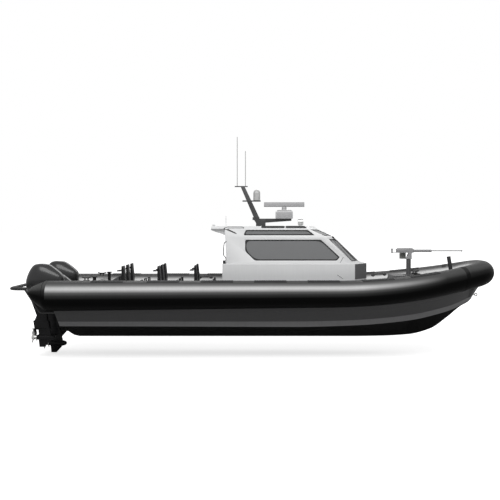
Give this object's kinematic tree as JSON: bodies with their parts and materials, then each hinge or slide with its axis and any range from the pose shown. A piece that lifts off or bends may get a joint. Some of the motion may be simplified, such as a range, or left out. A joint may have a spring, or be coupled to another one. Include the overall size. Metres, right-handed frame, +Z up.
{
  "type": "inflatable rib boat",
  "caption": "Rigid inflatable patrol boat with a wheelhouse, folding mast, straddle seats, bow gun and a bank of tilting outboard engines.",
  "frame": {"origin": "on the waterline, on the centreline, amidships", "axes": "+X towards the bow, +Y to port, +Z up"},
  "size_m": [10.8792, 3.16, 5.006],
  "materials": {
    "hull_grey": "satin",
    "deck_grey": "matt",
    "collar_black": "semi-gloss coated fabric",
    "pad_black": "matt, ribbed",
    "frame_grey": "satin",
    "locker_grey": "satin",
    "house_grey": "satin",
    "house_light": "satin",
    "window_glass": "tinted",
    "console_black": "matt",
    "seat_vinyl": "coated fabric",
    "bright_steel": "brushed",
    "aerial_white": "gloss",
    "radar_grey": "gloss",
    "gun_black": "matt",
    "ammo_green": "matt",
    "engine_dark": "satin",
    "engine_gloss": "gloss"
  },
  "bodies": {
    "boat": {"hull": "hull_grey", "deck": "deck_grey", "tube_port": "collar_black", "tube_starboard": "collar_black", "tube_bow": "collar_black", "step_pads": "pad_black", "engine_guard": "frame_grey", "stern_locker": "locker_grey", "mooring_posts": "frame_grey", "gun_plinth": "locker_grey", "house_lower": "house_grey", "house_walls": "house_light", "house_roof": "house_light", "house_glass": "window_glass", "helm_console": "console_black", "helm_seats": "seat_vinyl", "seat_bases": "locker_grey", "seat_cushions": "seat_vinyl", "seat_backs": "seat_vinyl", "seat_rails": "bright_steel", "mast_base": "frame_grey", "radar_housing": "radar_grey", "engine_clamps": "engine_dark"},
    "house_door": {"house_door": "house_light", "door_pane": "window_glass"},
    "steering_wheel": {"steering_wheel": "console_black"},
    "mast": {"mast_arm": "frame_grey", "mast_aerials": "aerial_white"},
    "radar_bar": {"radar_bar": "radar_grey"},
    "searchlight": {"searchlight": "frame_grey"},
    "gun_yoke": {"gun_yoke": "gun_black", "ammo_box": "ammo_green"},
    "gun": {"gun": "gun_black"},
    "swivel_starboard": {"swivel_starboard": "engine_dark"},
    "engine_starboard": {"leg_starboard": "engine_dark", "cowl_starboard": "engine_gloss"},
    "propeller_starboard": {"propeller_starboard": "bright_steel"},
    "swivel_centre": {"swivel_centre": "engine_dark"},
    "engine_centre": {"leg_centre": "engine_dark", "cowl_centre": "engine_gloss"},
    "propeller_centre": {"propeller_centre": "bright_steel"},
    "swivel_port": {"swivel_port": "engine_dark"},
    "engine_port": {"leg_port": "engine_dark", "cowl_port": "engine_gloss"},
    "propeller_port": {"propeller_port": "bright_steel"}
  },
  "joints": [
    {"name": "house_door_slide", "type": "slide", "parent": "boat", "child": "house_door", "axis": [0, 1, 0], "range_m": [0, 0.585]},
    {"name": "steering_wheel_turn", "type": "hinge", "parent": "boat", "child": "steering_wheel", "pos_m": [1.5544, -0.24, 0.9014], "axis": [-0.9063, 0, 0.4226], "range_deg": [-720, 720]},
    {"name": "mast_fold", "type": "hinge", "parent": "boat", "child": "mast", "pos_m": [0.075, 0, 2.195], "axis": [0, -1, 0], "range_deg": [0, 58]},
    {"name": "radar_spin", "type": "hinge", "parent": "boat", "child": "radar_bar", "pos_m": [0.793, 0, 2.5], "axis": [0, 0, 1], "continuous": true},
    {"name": "searchlight_pan", "type": "hinge", "parent": "boat", "child": "searchlight", "pos_m": [1.176, 0, 2.1], "axis": [0, 0, 1], "range_deg": [-170, 170]},
    {"name": "gun_traverse", "type": "hinge", "parent": "boat", "child": "gun_yoke", "pos_m": [3.69, 0, 1.25], "axis": [0, 0, 1], "range_deg": [-110, 110]},
    {"name": "gun_elevation", "type": "hinge", "parent": "gun_yoke", "child": "gun", "pos_m": [3.725, 0, 1.39], "axis": [0, -1, 0], "range_deg": [-4, 45]},
    {"name": "tilt_starboard", "type": "hinge", "parent": "boat", "child": "swivel_starboard", "pos_m": [-4.32124, -0.7, 0.43], "axis": [0, 1, 0], "range_deg": [-4, 60]},
    {"name": "steer_starboard", "type": "hinge", "parent": "swivel_starboard", "child": "engine_starboard", "pos_m": [-4.46124, -0.7, 0.28], "axis": [0, 0, 1], "range_deg": [-20, 20]},
    {"name": "propeller_spin_starboard", "type": "hinge", "parent": "engine_starboard", "child": "propeller_starboard", "pos_m": [-4.824, -0.7, -0.48], "axis": [1, 0, 0], "continuous": true},
    {"name": "tilt_centre", "type": "hinge", "parent": "boat", "child": "swivel_centre", "pos_m": [-4.24649, 0, 0.19], "axis": [0, 1, 0], "range_deg": [-4, 60]},
    {"name": "steer_centre", "type": "hinge", "parent": "swivel_centre", "child": "engine_centre", "pos_m": [-4.38649, 0, 0.04], "axis": [0, 0, 1], "range_deg": [-20, 20]},
    {"name": "propeller_spin_centre", "type": "hinge", "parent": "engine_centre", "child": "propeller_centre", "pos_m": [-4.74925, 0, -0.72], "axis": [1, 0, 0], "continuous": true},
    {"name": "tilt_port", "type": "hinge", "parent": "boat", "child": "swivel_port", "pos_m": [-4.32124, 0.7, 0.43], "axis": [0, 1, 0], "range_deg": [-4, 60]},
    {"name": "steer_port", "type": "hinge", "parent": "swivel_port", "child": "engine_port", "pos_m": [-4.46124, 0.7, 0.28], "axis": [0, 0, 1], "range_deg": [-20, 20]},
    {"name": "propeller_spin_port", "type": "hinge", "parent": "engine_port", "child": "propeller_port", "pos_m": [-4.824, 0.7, -0.48], "axis": [1, 0, 0], "continuous": true}
  ],
  "couplings": [
    {"joint": "steer_starboard", "follows": "steer_centre", "ratio": 1},
    {"joint": "steer_port", "follows": "steer_centre", "ratio": 1}
  ]
}
